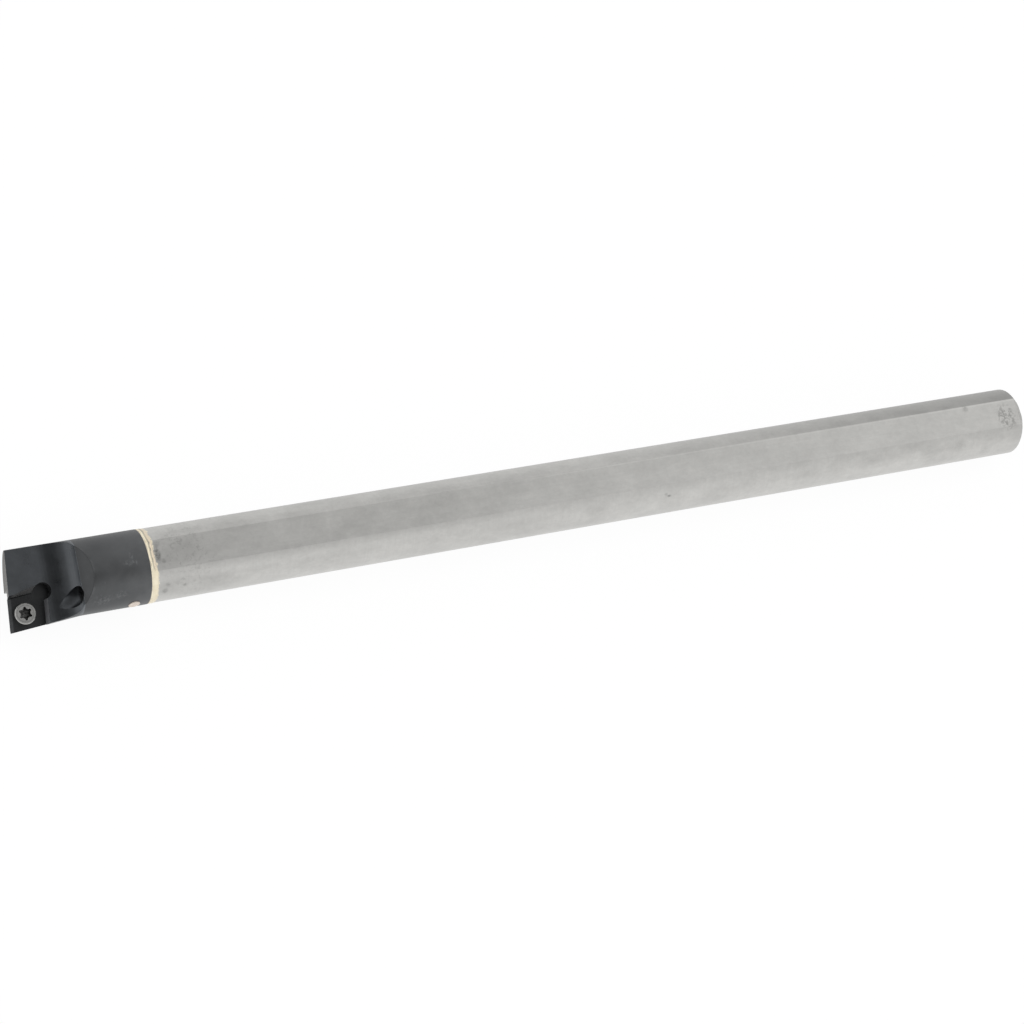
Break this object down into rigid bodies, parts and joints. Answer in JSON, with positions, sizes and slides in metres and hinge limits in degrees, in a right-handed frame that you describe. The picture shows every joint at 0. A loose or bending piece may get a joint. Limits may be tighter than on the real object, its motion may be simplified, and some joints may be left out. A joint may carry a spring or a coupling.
{
  "type": "boring bar",
  "caption": "Long round internal turning tool: ground carbide shank with a full-length flat, brazed black steel head with gullet, coolant exit and empty insert pocket with its screw.",
  "frame": {"origin": "centre of the shank's tail face, on the bar's axis, at the mouth of the coolant bore", "axes": "+X along the bar's axis from head to tail, +Z out of the shank's flat on the rake side, cutting corner at -Y"},
  "size_m": [0.2027, 0.0134, 0.0128],
  "materials": {
    "carbide": "fine ground tungsten carbide, satin grey with faint grinding lines",
    "head_steel": "black oxide on milled steel, low sheen",
    "braze": "silver braze fillet, pale cream gold, slightly uneven",
    "braze_spot": "braze-filled vent, dull pinkish tan",
    "screw_steel": "bare alloy steel screw, turned head face"
  },
  "bodies": {
    "root": {"shank": "carbide", "head": "head_steel", "braze_ring": "braze", "braze_plug": "braze_spot", "insert_screw": "screw_steel"}
  },
  "joints": []
}
